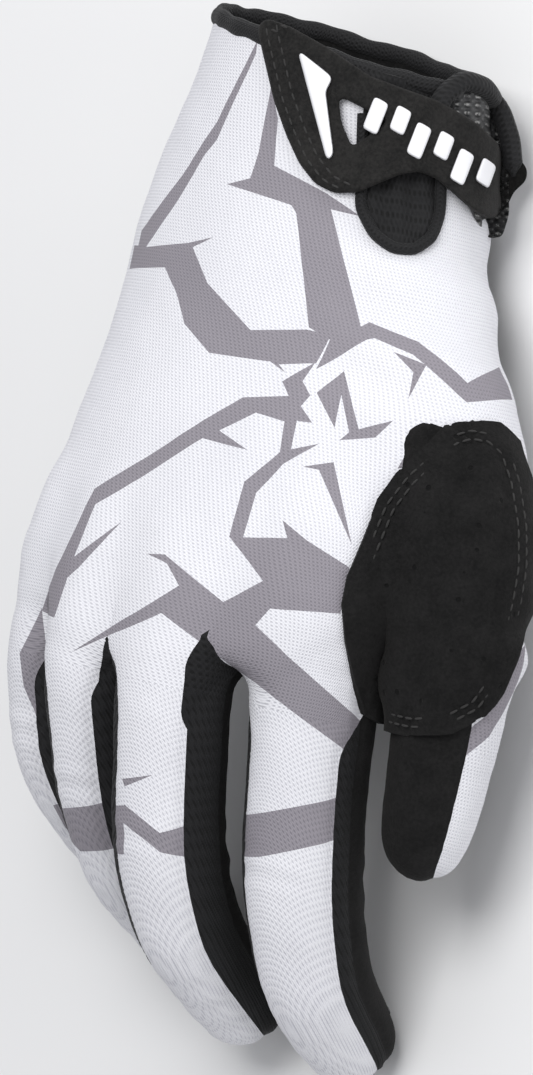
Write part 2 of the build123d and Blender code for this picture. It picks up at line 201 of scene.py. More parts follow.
# The valley in the saddle over the crotch of the thumb, from its top to its bottom
FOLD_LINE = [(37.7, 16.6), (26.1, -37.5)]


# ---------------------------------------------------------------------------- small vector tools

def smoothstep(low, high, x):
    t = np.clip((x - low) / (high - low), 0, 1)
    return t * t * (3 - 2 * t)


def smooth_min(a, b, k):
    """The smaller of a and b, rounded off where they differ by less than k."""
    h = np.clip(0.5 + 0.5 * (b - a) / k, 0, 1)
    return b * (1 - h) + a * h - k * h * (1 - h)


def through(points, count):
    """A Catmull-Rom curve through points, with count samples for each stretch."""
    points = np.asarray(points, float)
    ends = np.vstack([2 * points[0] - points[1], points, 2 * points[-1] - points[-2]])
    samples = []
    for i in range(len(points) - 1):
        p0, p1, p2, p3 = ends[i:i + 4]
        for t in np.arange(count) / count:
            samples.append(0.5 * (2 * p1 + (p2 - p0) * t + (2 * p0 - 5 * p1 + 4 * p2 - p3) * t ** 2
                                  + (3 * p1 - p0 - 3 * p2 + p3) * t ** 3))
    samples.append(points[-1])
    return np.array(samples)


def layout(points):
    """The (u, v, out) of points in the layout plane."""
    q = points - LAYOUT_ORIGIN
    return np.stack([q @ ACROSS, q @ ALONG, q @ OUT], axis=1)


def from_layout(u, v, out):
    return (LAYOUT_ORIGIN + np.multiply.outer(np.asarray(u, float), ACROSS)
            + np.multiply.outer(np.asarray(v, float), ALONG)
            + np.multiply.outer(np.asarray(out, float), OUT))


def inside_outline(uv, outline):
    """Which of the points (u, v) lie inside a closed outline."""
    inside = np.zeros(len(uv), bool)
    u, v = uv[:, 0], uv[:, 1]
    for (u0, v0), (u1, v1) in zip(outline, outline[1:] + outline[:1]):
        crosses = (v0 > v) != (v1 > v)
        if v0 != v1:
            inside ^= crosses & (u < (u1 - u0) * (v - v0) / (v1 - v0) + u0)
    return inside


# ---------------------------------------------------------------------------- form of the glove

SECTION_CURVE = through(HAND_SECTIONS, 8)[::-1]
THUMB_CURVE = through(THUMB_PATH, 4)
FINGER_CURVES = {name: (x, through(path, 3)) for name, (x, path) in FINGER_PATHS.items()}


def section(y):
    """x, z, half width and half height of the hand's section at y."""
    return [np.interp(y, SECTION_CURVE[:, 0], SECTION_CURVE[:, i]) for i in (1, 2, 3, 4)]


def together(points):
    """The finished glove's points from those of the spread-out glove."""
    x, y = points[:, 0], points[:, 1]
    grow = smoothstep(SPREAD_FROM, SPREAD_FULL, y)
    shift = np.zeros_like(x)
    for i, gap_x in enumerate(sorted([x for x, _ in GAPS] + [THUMB_GAP])):
        middle = gap_x + (i + 0.5 - 1.5) * SPREAD
        half = (0.25 + 0.5 * SPREAD)
        shift += SPREAD * np.clip((x - middle) / (2 * half) + 0.5, 0, 1)
    moved = points.copy()
    moved[:, 0] = x - (shift - 1.5 * SPREAD) * grow
    return moved


def hand_distance(p):
    """About the distance to the hand without its fingers and thumb."""
    y = p[:, 1]
    x0, z0, a, b = section(y)
    qx, qz = (p[:, 0] - x0) / a, (p[:, 2] - z0) / b
    r = np.hypot(qx, qz) + 1e-6
    d = r * (r - 1) / (np.hypot(qx / a, qz / b) + 1e-6)
    cap = np.interp(p[:, 0], [-54, -42, -31, -11, 12, 30, 40], [-16, -22, -22.5, -29, -25, -24, -12])
    return -smooth_min(-d, -(cap - y), 5)


def chain_distance(p, centres, radii, k=1.5):
    """Distance to a chain of tapered rods with round ends."""
    d = None
    for a, b, ra, rb in zip(centres, centres[1:], radii, radii[1:]):
        ab = b - a
        t = np.clip((p - a) @ ab / (ab @ ab), 0, 1)
        part = np.linalg.norm(p - a - t[:, None] * ab, axis=1) - (ra + t * (rb - ra))
        d = part if d is None else smooth_min(d, part, k)
    return d


def finger_distance(p, name):
    """Distance to a finger in the spread-out glove."""
    x, curve = FINGER_CURVES[name]
    number = FINGERS.index(name)
    shift = (1.5 - number) * SPREAD
    centres = np.stack([np.full(len(curve), float(x)), curve[:, 0], curve[:, 1]], axis=1)
    centres[:, 0] += shift * smoothstep(SPREAD_FROM, SPREAD_FULL, curve[:, 0])
    return chain_distance(p, centres, curve[:, 2])


def glove_distance(p):
    """Distance to the spread-out glove. The thumb flows into the hand but not into a finger."""
    hand = hand_distance(p)
    centres = THUMB_CURVE[:, :3].copy()
    centres[:, 0] += 2.5 * SPREAD * smoothstep(SPREAD_FROM, SPREAD_FULL, centres[:, 1])
    thumb = smooth_min(hand, chain_distance(p, centres, THUMB_CURVE[:, 3]), THUMB_BLEND)
    fingers = None
    for name in FINGERS:
        part = finger_distance(p, name)
        fingers = part if fingers is None else np.minimum(fingers, part)
    return np.minimum(thumb, smooth_min(hand, fingers, HAND_BLEND))


def gradient(distance, p, step=0.05):
    g = np.empty_like(p)
    for axis in range(3):
        offset = np.zeros(3)
        offset[axis] = step
        g[:, axis] = (distance(p + offset) - distance(p - offset)) / (2 * step)
    return g


def surface_net(values, origin, step):
    """Points and triangles of the surface where a grid of distances is zero."""
    shape = np.array(values.shape) - 1
    corners = list(itertools.product((0, 1), repeat=3))

    def at(corner):
        return values[tuple(slice(c, c + n) for c, n in zip(corner, shape))]

    total = np.zeros((*shape, 3))
    count = np.zeros(shape, int)
    for a in corners:
        for axis in range(3):
            if a[axis]:
                continue
            b = tuple(c + (i == axis) for i, c in enumerate(a))
            va, vb = at(a), at(b)
            crosses = (va < 0) != (vb < 0)
            t = va[crosses] / (va[crosses] - vb[crosses])
            point = np.tile(np.array(a, float), (len(t), 1))
            point[:, axis] = t
            total[crosses] += point
            count[crosses] += 1
    active = count > 0
    number = np.full(shape, -1)
    number[active] = np.arange(active.sum())
    cells = np.argwhere(active)
    points = origin + step * (cells + total[active] / count[active][:, None])
    triangles = []
    for axis in range(3):
        others = [i for i in range(3) if i != axis]
        low = [slice(1, n) for n in shape]
        low[axis] = slice(0, shape[axis])
        high = list(low)
        high[axis] = slice(1, shape[axis] + 1)
        va, vb = values[tuple(low)], values[tuple(high)]
        edges = np.argwhere((va < 0) != (vb < 0))
        rising = (va < 0)[tuple(edges.T)]
        cell = edges + [i != axis for i in range(3)]
        quad = []
        for da, db in ((1, 1), (0, 1), (0, 0), (1, 0)):
            c = cell.copy()
            c[:, others[0]] -= da
            c[:, others[1]] -= db
            quad.append(number[tuple(c.T)])
        quad = np.stack(quad, axis=1)
        flip = rising if axis != 1 else ~rising
        quad[~flip] = quad[~flip][:, ::-1]
        triangles += [quad[:, [0, 1, 2]], quad[:, [0, 2, 3]]]
    return points, np.vstack(triangles)


def work_out_skin():
    """The whole outer skin: its points in the spread-out glove, and its triangles."""
    low = np.array([-66.0, -106.0, -6.0])
    high = np.array([72.0, 112.0, 72.0])
    axes = [np.arange(a, b, GRID) for a, b in zip(low, high)]
    grid = np.stack(np.meshgrid(*axes, indexing="ij"), axis=-1)
    values = glove_distance(grid.reshape(-1, 3)).reshape(grid.shape[:3])
    points, triangles = surface_net(values, low, GRID)
    for _ in range(3):
        g = gradient(glove_distance, points)
        points -= (glove_distance(points) / (g ** 2).sum(1))[:, None] * g
    return points, triangles


# ---------------------------------------------------------------------------- cutting the skin

class Skin:
    """Triangles whose points each have a smooth place, a place with wrinkles, and a normal."""

    def __init__(self, rest, points, normals, triangles):
        self.data = np.hstack([rest, points, normals])
        self.triangles = triangles

    rest = property(lambda self: self.data[:, 0:3])
    points = property(lambda self: self.data[:, 3:6])
    normals = property(lambda self: self.data[:, 6:9])

    def centres(self):
        return self.rest[self.triangles].mean(axis=1)

    def cut(self, field, near=None):
        """Splits the triangles along field = 0. near says which vertices may be cut next to."""
        field = np.where(np.abs(field) < 0.02, 0.0, field)
        tri = self.triangles
        edges = np.stack([tri, np.roll(tri, -1, axis=1)], axis=2)
        sides = field[edges]
        splits = sides[..., 0] * sides[..., 1] < 0
        if near is not None:
            splits &= near[edges].any(axis=2)
        picked = np.sort(edges[splits], axis=1)
        if not len(picked):
            return
        unique, back = np.unique(picked, axis=0, return_inverse=True)
        f0, f1 = field[unique[:, 0]], field[unique[:, 1]]
        t = (f0 / (f0 - f1))[:, None]
        added = self.data[unique[:, 0]] * (1 - t) + self.data[unique[:, 1]] * t
        new = np.full(splits.shape, -1)
        new[splits] = len(self.data) + back.reshape(-1)
        self.data = np.vstack([self.data, added])
        count = splits.sum(axis=1)
        result = [tri[count == 0]]
        for turn in range(3):
            a, b, c = (tri[:, (turn + i) % 3] for i in range(3))
            m0, m1 = splits[:, turn], splits[:, (turn + 1) % 3]
            n0, n1 = new[:, turn], new[:, (turn + 1) % 3]
            one = (count == 1) & m0
            result.append(np.stack([a, n0, c], axis=1)[one])
            result.append(np.stack([n0, b, c], axis=1)[one])
            two = (count == 2) & m0 & m1
            result.append(np.stack([n0, b, n1], axis=1)[two])
            result.append(np.stack([a, n0, n1], axis=1)[two])
            result.append(np.stack([a, n1, c], axis=1)[two])
        self.triangles = np.vstack(result)

    def cut_outline(self, outline, reach=1.6):
        """Splits the triangles along a closed outline in the layout plane."""
        for (u0, v0), (u1, v1) in zip(outline, outline[1:] + outline[:1]):
            uvo = layout(self.rest)
            along = np.array([u1 - u0, v1 - v0], float)
            length = np.hypot(*along)
            along /= length
            q = uvo[:, :2] - (u0, v0)
            side = q[:, 0] * along[1] - q[:, 1] * along[0]
            place = q @ along
            near = (place > -reach) & (place < length + reach) & (np.abs(side) < reach)
            self.cut(side, near & (self.normals @ OUT > FRONT_LIMIT))

    def piece(self, chosen):
        """A new skin of the chosen triangles alone."""
        used, index = np.unique(self.triangles[chosen], return_inverse=True)
        part = Skin.__new__(Skin)
        part.data = self.data[used]
        part.triangles = index.reshape(-1, 3)
        return part


def surface_normals(points, triangles):
    """Normals of a mesh at its points, from the triangles round each point."""
    corners = points[triangles]
    flat = np.cross(corners[:, 1] - corners[:, 0], corners[:, 2] - corners[:, 0])
    normals = np.zeros_like(points)
    for corner in range(3):
        np.add.at(normals, triangles[:, corner], flat)
    return normals / (np.linalg.norm(normals, axis=1)[:, None] + 1e-12)


def rim(triangles):
    """The directed edges that only one triangle uses."""
    edges = np.vstack([triangles[:, [0, 1]], triangles[:, [1, 2]], triangles[:, [2, 0]]])
    key = np.sort(edges, axis=1)
    _, first, count = np.unique(key, axis=0, return_index=True, return_counts=True)
    return edges[first[count == 1]]


# ---------------------------------------------------------------------------- panels of the skin

def finger_angle(p, name):
    """Angle in degrees round a finger, from straight up towards the thumb side, and the radius."""
    x, curve = FINGER_CURVES[name]
    centres = np.stack([curve[:, 0], curve[:, 1]], axis=1)
    best = np.full(len(p), np.inf)
    up = np.zeros(len(p))
    for a, b in zip(centres, centres[1:]):
        ab = b - a
        t = np.clip((p[:, 1:] - a) @ ab / (ab @ ab), 0, 1)
        q = p[:, 1:] - a - t[:, None] * ab
        distance = np.hypot(q[:, 0], q[:, 1])
        normal = np.array([ab[1], -ab[0]]) / np.hypot(*ab)
        closer = distance < best
        best = np.where(closer, distance, best)
        up = np.where(closer, q @ normal, up)
    return np.degrees(np.arctan2(p[:, 0] - x, up)), np.hypot(p[:, 0] - x, up)


def finger_of(p):
    """Number of the finger that a point belongs to, and 4 for the thumb."""
    x = p[:, 0]
    number = np.zeros(len(p), int)
    for gap_x, _ in GAPS:
        number += x < gap_x
    return np.where((x > THUMB_GAP) & (p[:, 1] < -18), 4, number)


def hand_seam(p):
    """Distance above the seam between the back and the palm of the hand and of the thumb."""
    x0, z0, a, b = section(p[:, 1])
    hand = (p[:, 2] - z0) + 0.47 * b * ((p[:, 0] - x0) / a + 1)
    thumb = np.full(len(p), np.inf)
    white = np.zeros(len(p))
    for x, y, z, r in THUMB_CURVE:
        q = p - (x, y, z)
        distance = np.linalg.norm(q, axis=1)
        closer = distance - r < thumb
        thumb = np.where(closer, distance - r, thumb)
        white = np.where(closer, q @ WHITE_SIDE - 0.45 * r, white)
    share = smoothstep(-3, 5, hand_distance(p) - thumb) * smoothstep(36, 22, p[:, 1])
    return hand * (1 - share) + white * share


def gap_cover(p):
    """Above 0 in the dark gussets at the inner ends of the gaps between the fingers."""
    best = np.full(len(p), -9.0)
    for gap_x, gap_y in GAPS:
        narrow = smoothstep(gap_y + 6.5, gap_y - 4, p[:, 1]) * smoothstep(-45, -35, p[:, 1])
        best = np.maximum(best, 3.0 * narrow - np.abs(p[:, 0] - gap_x + 0.6) - 0.4)
    return best


def finger_fields(p):
    """For each finger two distances: inside its back panel, and outside its palm panel."""
    fields = []
    for name in FINGERS:
        angle, radius = finger_angle(p, name)
        left, right = BACK_ANGLES[name]
        open_up = 34 * smoothstep(-38, -24, p[:, 1])
        grow = np.radians(1) * np.minimum(radius, 12)
        back = np.minimum(angle - (left - open_up), (right + open_up) - angle) * grow
        palm_left, palm_right = left - GUSSET_WIDTH[name][0], right + GUSSET_WIDTH[name][1]
        palm = np.minimum(angle - palm_left, palm_right - angle) * grow
        fields.append((back, palm))
    return fields


BACK, GUSSET, PALM = 0, 1, 2


def wrinkles(p, normals):
    """How far the fabric stands out or falls in, in millimetres."""
    x, y, z = p.T
    uvo = layout(p)
    u, v = uvo[:, 0], uvo[:, 1]
    lift = np.zeros(len(p))
    # slack cloth between the wrist and the thumb: long shallow folds towards the thumb's crotch
    fold = np.sin((v + 0.55 * u) * 0.42 + 1.2 * np.sin(u * 0.11)) * smoothstep(6, 22, u)
    lift += 0.55 * fold * smoothstep(16, 30, v) * smoothstep(72, 52, v)
    fold = np.sin((u - 0.5 * v) * 0.5 + 0.8 * np.sin(v * 0.09)) * smoothstep(-30, -10, v)
    lift += 0.22 * fold * smoothstep(30, 5, v) * smoothstep(14, 2, u)
    # knuckles and joints
    for name in FINGERS:
        x0, _ = FINGER_PATHS[name]
        angle, _ = finger_angle(p, name)
        near = smoothstep(12, 4, np.abs(x - x0)) * (y < -20)
        joint = (KNUCKLE_END[name] + MIDDLE_END[name]) / 2
        under = smoothstep(100, 150, np.abs(angle))
        lift += -0.5 * near * under * np.sin((y - joint) * 0.9) * smoothstep(9, 2, np.abs(y - joint))
        top = smoothstep(75, 20, np.abs(angle))
        lift += 0.16 * near * top * np.sin((y - joint) * 1.25) * smoothstep(7, 1, np.abs(y - joint))
    # the palm folds across behind the fingers and round the ball of the thumb
    under = smoothstep(0.1, -0.6, normals[:, 2])
    lift += 0.45 * under * np.sin(y * 0.55 + 0.05 * x) * smoothstep(-28, -12, y) * smoothstep(30, 5, y)
    lift += 0.3 * under * np.sin((y + 0.8 * x) * 0.35) * smoothstep(25, 40, y) * smoothstep(90, 70, y)
    # a gentle unevenness everywhere
    lift += 0.10 * np.sin(x * 0.31 + 1.3 * np.sin(y * 0.17)) * np.sin(y * 0.27 + 0.9 * np.sin(z * 0.21))
    lift += 0.05 * np.sin(x * 0.83 + 2.1 * np.sin(y * 0.37)) * np.sin(y * 0.71 + 1.7 * np.sin(x * 0.41))
    return lift


def seam_groove(distance, depth=0.5, width=1.3):
    return -depth * np.exp(-(distance / width) ** 2)


def build_skin():
    """The skin of the whole glove, cut along every seam, with a panel number for each triangle."""
    spread_points, triangles = work_out_skin()
    normals = gradient(glove_distance, spread_points)
    normals /= np.linalg.norm(normals, axis=1)[:, None]
    rest = together(spread_points)
    fields = finger_fields(rest)
    number = finger_of(rest)
    fingers = rest[:, 1] < -19
    seam = np.abs(hand_seam(rest))
    for i, (back, palm) in enumerate(fields):
        mine = (number == i) & fingers
        blend = smoothstep(-19, -26, rest[:, 1])
        near = np.minimum(np.abs(back), np.abs(palm))
        seam = np.where(mine, near * blend + (1 - blend) * np.minimum(seam, 4), seam)
    points = rest + normals * (wrinkles(rest, normals) + seam_groove(seam))[:, None]
    points[:, 2] = np.maximum(points[:, 2], 0.15)
    shaded = surface_normals(points, triangles)
    if np.mean(np.sum(shaded * normals, axis=1)) < 0:
        shaded = -shaded
    skin = Skin(rest, points, shaded, triangles)

    skin.cut((skin.rest - MOUTH) @ MOUTH_NORMAL)
    inner = skin.centres() - MOUTH
    skin = skin.piece(inner @ MOUTH_NORMAL < 0)
    skin.cut(skin.rest[:, 1] - JOINT_Y)
    skin.cut(skin.rest[:, 0] - THUMB_GAP, skin.rest[:, 1] < -22)
    for name in FINGERS:
        mine = finger_of(skin.rest) == FINGERS.index(name)
        skin.cut(skin.rest[:, 1] - KNUCKLE_END[name], mine)
    for i, name in enumerate(FINGERS):
        for which in (0, 1):
            mine = (finger_of(skin.rest) == i) & (skin.rest[:, 1] < -18)
            skin.cut(finger_fields(skin.rest)[i][which], mine)
    skin.cut(hand_seam(skin.rest), (skin.rest[:, 1] > -22) | (finger_of(skin.rest) == 4))
    skin.cut(gap_cover(skin.rest), (skin.rest[:, 1] > -46) & (skin.rest[:, 1] < 0))
    skin.cut_outline(NOTCH)
    skin.cut_outline(OVERLAY)
    skin.cut_outline(KNIT)
    for band in PRINT:
        skin.cut_outline(band)

    middle = skin.centres()
    number = finger_of(middle)
    panel = np.where(hand_seam(middle) > 0, BACK, PALM)
    fields = finger_fields(middle)
    for i, (back, palm) in enumerate(fields):
        mine = (number == i) & (middle[:, 1] < -20.5)
        kind = np.where(back > 0, BACK, np.where(palm > 0, GUSSET, PALM))
        panel = np.where(mine, kind, panel)
    gap = (gap_cover(middle) > 0) & (middle[:, 1] > -46) & (panel == BACK)
    panel = np.where(gap, GUSSET, panel)
    return skin, panel, number


# ---------------------------------------------------------------------------- materials

class Nodes:
    """A small helper to write node trees."""

    def __init__(self, name):
        self.material = bpy.data.materials.new(name)
        self.material.use_nodes = True
        self.tree = self.material.node_tree
        self.shader = self.tree.nodes["Principled BSDF"]

    def link(self, source, target):
        self.tree.links.new(source, target)

    def value(self, target, source):
        if isinstance(source, bpy.types.NodeSocket):
            self.link(source, target)
        else:
            target.default_value = source

    def math(self, operation, a, b=0.0):
        node = self.tree.nodes.new("ShaderNodeMath")
        node.operation = operation
        self.value(node.inputs[0], a)
        self.value(node.inputs[1], b)
        return node.outputs[0]

    def mix(self, factor, a, b):
        node = self.tree.nodes.new("ShaderNodeMix")
        node.data_type = "RGBA"
        self.value(node.inputs["Factor"], factor)
        self.value(node.inputs[6], a)
        self.value(node.inputs[7], b)
        return node.outputs[2]

    def noise(self, where, scale, detail=2.0, roughness=0.5):
        node = self.tree.nodes.new("ShaderNodeTexNoise")
        self.link(where, node.inputs["Vector"])
        node.inputs["Scale"].default_value = scale
        node.inputs["Detail"].default_value = detail
        node.inputs["Roughness"].default_value = roughness
        return node.outputs["Fac"]

    def spots(self, where, scale, randomness=1.0):
        node = self.tree.nodes.new("ShaderNodeTexVoronoi")
        self.link(where, node.inputs["Vector"])
        node.inputs["Scale"].default_value = scale
        node.inputs["Randomness"].default_value = randomness
        return node.outputs["Distance"]

    def ramp(self, x, low, high, a=0.0, b=1.0):
        node = self.tree.nodes.new("ShaderNodeMapRange")
        node.interpolation_type = "SMOOTHSTEP"
        for socket, value in zip(node.inputs[:5], (x, low, high, a, b)):
            self.value(socket, value)
        return node.outputs[0]

    def bump(self, height, strength, distance):
        node = self.tree.nodes.new("ShaderNodeBump")
        node.inputs["Strength"].default_value = strength
        node.inputs["Distance"].default_value = distance
        self.link(height, node.inputs["Height"])
        self.link(node.outputs[0], self.shader.inputs["Normal"])

    def weave(self, across, along, skew=0.0):
        """Rows of small stitches, from 0 in the gaps to 1 on the threads."""
        uv = self.tree.nodes.new("ShaderNodeUVMap")
        uv.uv_map = "fabric"
        split = self.tree.nodes.new("ShaderNodeSeparateXYZ")
        self.link(uv.outputs[0], split.inputs[0])
        x, y = split.outputs[0], split.outputs[1]
        x = self.math("ADD", x, self.math("MULTIPLY", y, skew))
        row = self.math("SINE", self.math("MULTIPLY", y, 2 * math.pi / along))
        column = self.math("SINE", self.math("MULTIPLY", x, 2 * math.pi / across))
        both = self.math("MULTIPLY", row, column)
        both = self.math("ADD", self.math("MULTIPLY", both, 0.5), self.math("MULTIPLY", row, 0.28))
        return self.math("ADD", both, 0.5)

    def place(self):
        return self.tree.nodes.new("ShaderNodeTexCoord").outputs["Object"]

    def surface(self, colour, roughness, sheen=0.0, specular=0.5):
        self.value(self.shader.inputs["Base Color"], colour)
        self.value(self.shader.inputs["Roughness"], roughness)
        self.shader.inputs["Sheen Weight"].default_value = sheen
        self.shader.inputs["Sheen Roughness"].default_value = 0.5
        self.shader.inputs["Specular IOR Level"].default_value = specular


def knit(name, light, dark, across=0.00085, along=0.00066, skew=0.35, depth=0.6, sheen=0.04,
         roughness=0.86, strength=0.55):
    """A fine knitted fabric, with painted shade: its gaps between the threads are painted in the dark colour.
    """
    n = Nodes(name)
    height = n.weave(across, along, skew)
    place = n.place()
    fuzz = n.noise(place, 2600, 2)
    height = n.math("ADD", height, n.math("MULTIPLY", fuzz, 0.35))
    patches = n.noise(place, 38, 3)
    # painted shade: where the weave is low, in the gaps between the threads, cover goes to the dark colour;
    # the patches add random tone
    cover = n.math("MULTIPLY", n.ramp(height, 0.15, 0.75), depth)
    cover = n.math("ADD", cover, n.math("MULTIPLY", patches, 1 - depth))
    n.surface(n.mix(cover, dark, light), n.ramp(patches, 0.3, 0.7, roughness, roughness - 0.08), sheen, 0.3)
    n.bump(height, strength, 0.00022)
    return n.material


def suede_material(name, colour, dark, perforated=False):
    """Brushed microfibre suede: a short nap with darker strokes and small pits."""
    n = Nodes(name)
    place = n.place()
    nap = n.noise(place, 1500, 4, 0.7)
    strokes = n.noise(place, 240, 3, 0.6)
    patches = n.noise(place, 45, 2)
    tone = n.math("ADD", n.math("MULTIPLY", nap, 0.55), n.math("MULTIPLY", strokes, 0.3))
    tone = n.math("ADD", tone, n.math("MULTIPLY", patches, 0.25))
    height = n.math("ADD", nap, n.math("MULTIPLY", strokes, 0.8))
    if perforated:
        holes = n.ramp(n.spots(place, 210, 0.3), 0.08, 0.13)
        tone = n.math("MULTIPLY", tone, holes)
        height = n.math("ADD", height, n.math("MULTIPLY", holes, 2.0))
    n.surface(n.mix(n.ramp(tone, 0.35, 0.75), dark, colour), 0.93, 0.05, 0.2)
    n.shader.inputs["Sheen Tint"].default_value = (0.5, 0.48, 0.46, 1)
    n.bump(height, 0.7, 0.00025)
    return n.material


def moulded(name, colour):
    """Soft moulded plastic with a faintly uneven satin face."""
    n = Nodes(name)
    place = n.place()
    dust = n.noise(place, 900, 3)
    broad = n.noise(place, 120, 2)
    n.surface(n.mix(n.ramp(broad, 0.3, 0.7, 0.0, 0.35), colour, (0.75, 0.75, 0.78, 1)),
              n.ramp(dust, 0.3, 0.7, 0.34, 0.5), 0.0, 0.5)
    n.bump(n.math("ADD", dust, broad), 0.12, 0.0001)
    return n.material


def mesh_material(name):
    """Coarse woven nylon loop: black threads over dark gaps, with painted glints in light grey on the thread
    tops.
    """
    n = Nodes(name)
    height = n.weave(0.0021, 0.0016, 0.0)
    glint = n.noise(n.place(), 2200, 2)
    # painted highlight: the thread tops turn light grey where the glint noise is high
    cover = n.math("MULTIPLY", n.ramp(height, 0.55, 0.95), n.ramp(glint, 0.35, 0.65))
    n.surface(n.mix(cover, (0.012, 0.012, 0.013, 1), (0.30, 0.30, 0.29, 1)), 0.5, 0.1, 0.5)
    n.bump(height, 1.0, 0.0005)
    return n.material


MATERIALS = {
    "white_knit": knit("white_knit", (0.83, 0.83, 0.86, 1), (0.55, 0.55, 0.60, 1)),
    "grey_knit": knit("grey_knit", (0.30, 0.28, 0.31, 1), (0.19, 0.18, 0.205, 1)),
    "lining": knit("lining", (0.045, 0.045, 0.048, 1), (0.012, 0.012, 0.014, 1), 0.0016, 0.0012),
    "gusset_knit": knit("gusset_knit", (0.011, 0.011, 0.012, 1), (0.002, 0.002, 0.002, 1), 0.0019,
                        0.0013, 0.5, 0.75, 0.03, 0.9, 0.9),
    "stretch_knit": knit("stretch_knit", (0.012, 0.012, 0.013, 1), (0.002, 0.002, 0.002, 1), 0.0011,
                         0.0026, 0.25, 0.7, 0.05, 0.82, 0.8),
    "binding": knit("binding", (0.010, 0.010, 0.011, 1), (0.002, 0.002, 0.002, 1), 0.0009, 0.0009,
                    0.0, 0.7, 0.04, 0.8, 0.6),
    "suede": suede_material("suede", (0.013, 0.0125, 0.0125, 1), (0.003, 0.003, 0.003, 1)),
    "strap_suede": suede_material("strap_suede", (0.024, 0.023, 0.022, 1), (0.005, 0.005, 0.005, 1)),
    "saddle_suede": suede_material("saddle_suede", (0.013, 0.0125, 0.0125, 1),
                                   (0.003, 0.003, 0.003, 1), perforated=True),
    "loop_mesh": mesh_material("loop_mesh"),
    "moulded_white": moulded("moulded_white", (0.86, 0.86, 0.88, 1)),
    "thread": knit("thread", (0.035, 0.034, 0.033, 1), (0.01, 0.01, 0.01, 1), 0.0004, 0.0004, 0.8),
    "grip_print": moulded("grip_print", (0.05, 0.05, 0.055, 1)),
}


# ---------------------------------------------------------------------------- making the meshes

def new_object(name, points, faces, normals=None, uv=None, materials=(), face_material=None,
               smooth=True):
    """An object from points in millimetres. normals and uv are per corner."""
    mesh = bpy.data.meshes.new(name)
    mesh.from_pydata((np.asarray(points) * MM).tolist(), [], [list(f) for f in faces])
    for material in materials:
        mesh.materials.append(material)
    if face_material is not None:
        mesh.polygons.foreach_set("material_index", np.asarray(face_material, np.int32))
    mesh.polygons.foreach_set("use_smooth", np.full(len(mesh.polygons), smooth))
    if uv is not None:
        layer = mesh.uv_layers.new(name="fabric")
        layer.data.foreach_set("uv", np.asarray(uv, np.float32).reshape(-1))
    if normals is not None:
        mesh.normals_split_custom_set(np.asarray(normals).tolist())
    mesh.update()
    obj = bpy.data.objects.new(name, mesh)
    bpy.context.scene.collection.objects.link(obj)
    return obj


def fabric_uv(part, name):
    """A flat pattern, in millimetres, for the weave: along and round the glove."""
    rest = part.rest
    if name in FINGERS:
        angle, _ = finger_angle(rest, name)
        r = FINGER_CURVES[name][1][:, 2].mean()
        return np.stack([np.radians(angle) * r, rest[:, 1] - 0.8 * rest[:, 2]], axis=1)
    if name == "thumb":
        x, _, z, r = THUMB_CURVE[-12]
        angle = np.arctan2(rest[:, 0] - x, rest[:, 2] - z)
        return np.stack([angle * r, rest[:, 1]], axis=1)
    x0, z0, a, b = section(rest[:, 1])
    angle = np.arctan2((rest[:, 0] - x0) / a, (rest[:, 2] - z0) / b)
    return np.stack([angle * (a + b) / 2 * 1.06, rest[:, 1]], axis=1)


def sew(part, name, where, materials, thickness=FABRIC, lift=0.0, face_material=None):
    """A fabric panel with a thickness, whose outside is the skin moved out by lift."""
    outer = part.points + part.normals * lift
    inner = part.points + part.normals * (lift - thickness)
    count = len(outer)
    edges = rim(part.triangles)
    walls = np.stack([edges[:, 1], edges[:, 0], edges[:, 0] + count, edges[:, 1] + count], axis=1)
    faces = list(part.triangles) + list(part.triangles[:, ::-1] + count) + list(walls)
    uv = fabric_uv(part, where)
    both = np.vstack([uv, uv])
    corner = np.concatenate([part.triangles.reshape(-1), part.triangles[:, ::-1].reshape(-1),
                             np.stack([edges[:, 1], edges[:, 0], edges[:, 0], edges[:, 1]],
                                      axis=1).reshape(-1)])
    n = np.concatenate([part.normals[part.triangles].reshape(-1, 3),
                        -part.normals[part.triangles[:, ::-1]].reshape(-1, 3)])
    a, b = outer[edges[:, 1]], outer[edges[:, 0]]
    side = np.cross(b - a, -part.normals[edges[:, 0]])
    side /= np.linalg.norm(side, axis=1)[:, None] + 1e-9
    n = np.vstack([n, np.repeat(side, 4, axis=0)])
    if face_material is not None:
        top = np.asarray(face_material)
        face_material = np.concatenate([top, np.full(len(top) + len(edges), len(materials) - 1)])
    return new_object(name, np.vstack([outer, inner]), faces, n, both[corner] * MM, materials,
                      face_material)


def raise_points(part, height):
    """Moves the points of a skin outwards, and turns its normals to suit."""
    before = part.normals.copy()
    part.data[:, 3:6] += before * height[:, None]
    after = surface_normals(part.points, part.triangles)
    turned = np.sign(np.sum(after * before, axis=1).mean())
    part.data[:, 6:9] = after * turned


def cloth_front(part):
    """Which triangles of a skin face somebody who looks along -OUT."""
    return part.normals[part.triangles].mean(axis=1) @ OUT > FRONT_LIMIT


